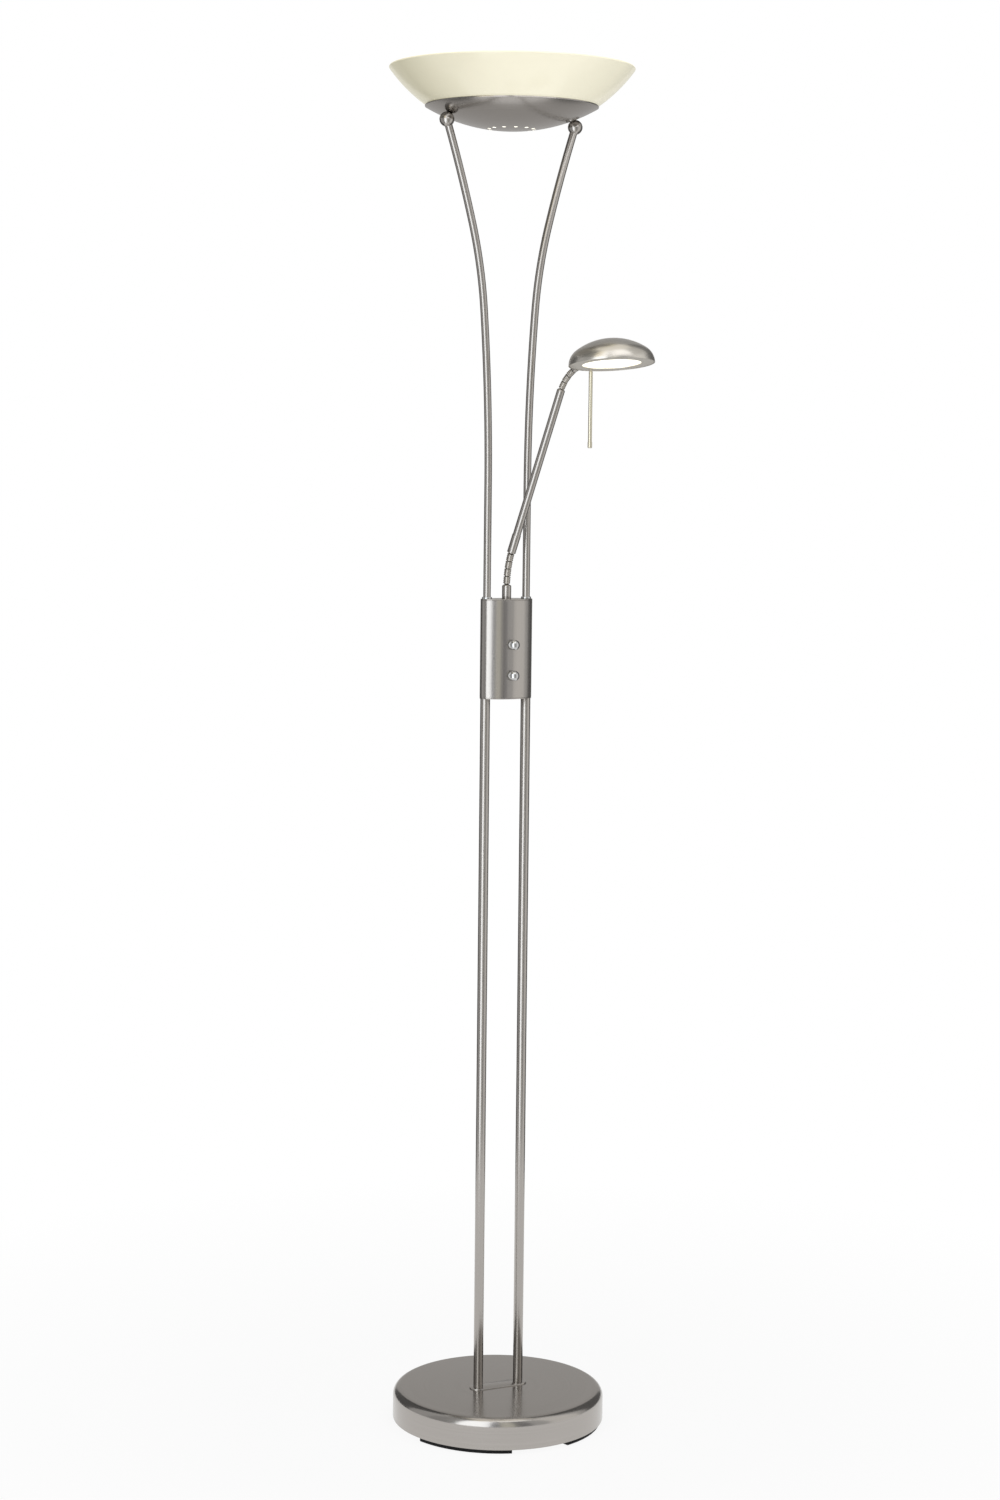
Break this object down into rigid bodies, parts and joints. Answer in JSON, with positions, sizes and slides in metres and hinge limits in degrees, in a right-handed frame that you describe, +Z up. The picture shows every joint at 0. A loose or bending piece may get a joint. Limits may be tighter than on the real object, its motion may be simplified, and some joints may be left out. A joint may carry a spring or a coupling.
{
  "type": "torchiere floor lamp with reading light",
  "caption": "Floor lamp: heavy round base, two poles, glass uplight bowl, and a domed reading light on a bendable arm with ball-seated ribbed hoses.",
  "frame": {"origin": "on the floor, under the centre of the round base", "axes": "+Z up; X along the line through the two poles, +X to the pole on the right seen from the knobs; -Y is the front, where the dimmer knobs stand out of the box, and the reading arm leans out over -Y and a little +X; +Y the rear, where the cord hole is"},
  "size_m": [0.3188, 0.3689, 1.8001],
  "materials": {
    "satin_nickel": "satin nickel plated, fine brushed streaks",
    "bright_chrome": "bright plated, polished",
    "head_ring_metal": "pale baked enamel",
    "foot_rubber": "matt black",
    "cast_weight": "rough cast",
    "zinc_steel": "bright zinc plated",
    "dimmer_moulding": "moulded",
    "dimmer_shaft_alloy": "drawn, plain",
    "porcelain": "unglazed white",
    "opal_glass": "opal, softly glossy outside",
    "clear_glass": "clear",
    "frosted_glass": "frosted, lit from behind",
    "seat_silicone": "translucent silicone"
  },
  "bodies": {
    "stand": {"foot_pads": "foot_rubber", "base_bottom_plate": "zinc_steel", "base_plate_screws": "zinc_steel", "base_weight": "cast_weight", "base_cover": "satin_nickel", "cord_grommet": "foot_rubber", "foot_plate": "satin_nickel", "base_studs": "zinc_steel", "base_stud_nuts": "zinc_steel", "lower_pole_left": "satin_nickel", "lower_pole_right": "satin_nickel", "pole_inserts": "zinc_steel", "box_nipples": "zinc_steel", "box_bottom_cap": "satin_nickel", "box_housing": "satin_nickel", "box_top_cap": "satin_nickel", "box_tie_screws": "zinc_steel", "terminal_block": "porcelain", "dimmer_nuts": "zinc_steel", "arm_collars": "satin_nickel", "upper_arm_left": "satin_nickel", "upper_arm_right": "satin_nickel", "cup_balls": "satin_nickel", "cup_screws": "zinc_steel", "uplight_cup": "satin_nickel", "glass_seat_ring": "seat_silicone", "glass_bowl": "opal_glass", "hub_stud": "zinc_steel", "clamp_disc": "zinc_steel", "hub_nuts": "zinc_steel", "lampholder_bracket": "zinc_steel", "lampholder_left": "porcelain", "lampholder_right": "porcelain", "halogen_tube": "clear_glass", "hose_ferrule": "satin_nickel", "dimmer_upper": "dimmer_moulding", "dimmer_lower": "dimmer_moulding"},
    "knob_lower": {"knob_lower": "bright_chrome", "dimmer_shaft_lower": "dimmer_shaft_alloy"},
    "knob_upper": {"knob_upper": "bright_chrome", "dimmer_shaft_upper": "dimmer_shaft_alloy"},
    "lower_hose_1": {"lower_hose_1": "satin_nickel"},
    "lower_hose_2": {"lower_hose_2": "satin_nickel"},
    "lower_hose_3": {"lower_hose_3": "satin_nickel"},
    "lower_hose_4": {"lower_hose_4": "satin_nickel"},
    "reading_arm": {"arm_sleeve": "satin_nickel", "reading_arm_tube": "satin_nickel"},
    "upper_hose_1": {"upper_hose_1": "satin_nickel"},
    "upper_hose_2": {"upper_hose_2": "satin_nickel"},
    "upper_hose_3": {"upper_hose_3": "satin_nickel"},
    "reading_head": {"hose_nipple": "satin_nickel", "head_shell": "satin_nickel", "head_ring": "head_ring_metal", "head_glass": "frosted_glass", "glass_clips": "zinc_steel", "head_bracket": "zinc_steel", "head_lampholder": "porcelain", "capsule_bulb": "clear_glass", "handle_rod": "satin_nickel"}
  },
  "joints": [
    {"name": "dimmer_turn_upper", "type": "hinge", "parent": "stand", "child": "knob_upper", "pos_m": [0, -0.02, 1.0535], "axis": [0, -1, 0], "range_deg": [0, 270]},
    {"name": "dimmer_turn_lower", "type": "hinge", "parent": "stand", "child": "knob_lower", "pos_m": [0, -0.02, 1.013], "axis": [0, -1, 0], "range_deg": [0, 270]},
    {"name": "lower_bend_1", "type": "hinge", "parent": "stand", "child": "lower_hose_1", "pos_m": [0, 0, 1.13426], "axis": [0.9107, 0.4131, 0], "range_deg": [-3, 8]},
    {"name": "lower_swing_1", "type": "hinge", "parent": "lower_hose_1", "child": "lower_hose_2", "pos_m": [0.00031, -0.00068, 1.14443], "axis": [0.4106, -0.9052, -0.1092], "range_deg": [-4, 14]},
    {"name": "lower_bend_2", "type": "hinge", "parent": "lower_hose_2", "child": "lower_hose_3", "pos_m": [0.00092, -0.00203, 1.15452], "axis": [0.9107, 0.4131, 0], "range_deg": [-3, 8]},
    {"name": "lower_swing_2", "type": "hinge", "parent": "lower_hose_3", "child": "lower_hose_4", "pos_m": [0.00184, -0.00404, 1.16448], "axis": [0.3997, -0.8812, -0.2526], "range_deg": [-4, 14]},
    {"name": "lower_bend_3", "type": "hinge", "parent": "lower_hose_4", "child": "reading_arm", "pos_m": [0.00305, -0.00672, 1.17425], "axis": [0.9107, 0.4131, 0], "range_deg": [-3, 8]},
    {"name": "upper_bend_1", "type": "hinge", "parent": "reading_arm", "child": "upper_hose_1", "pos_m": [0.0369, -0.08134, 1.38884], "axis": [0.9107, 0.4131, 0], "range_deg": [-20, 7.5]},
    {"name": "upper_swing_1", "type": "hinge", "parent": "upper_hose_1", "child": "upper_hose_2", "pos_m": [0.03908, -0.08616, 1.39756], "axis": [0.3326, -0.7331, -0.5932], "range_deg": [-14, 14]},
    {"name": "upper_bend_2", "type": "hinge", "parent": "upper_hose_2", "child": "upper_hose_3", "pos_m": [0.04188, -0.09232, 1.40519], "axis": [0.9107, 0.4131, 0], "range_deg": [-20, 7.5]},
    {"name": "upper_swing_2", "type": "hinge", "parent": "upper_hose_3", "child": "reading_head", "pos_m": [0.04519, -0.09963, 1.41149], "axis": [0.2248, -0.4955, -0.839], "range_deg": [-14, 14]}
  ],
  "couplings": [
    {"joint": "lower_bend_2", "follows": "lower_bend_1", "ratio": 1},
    {"joint": "lower_bend_3", "follows": "lower_bend_1", "ratio": 1},
    {"joint": "lower_swing_2", "follows": "lower_swing_1", "ratio": 1},
    {"joint": "upper_bend_2", "follows": "upper_bend_1", "ratio": 1},
    {"joint": "upper_swing_2", "follows": "upper_swing_1", "ratio": 1}
  ]
}
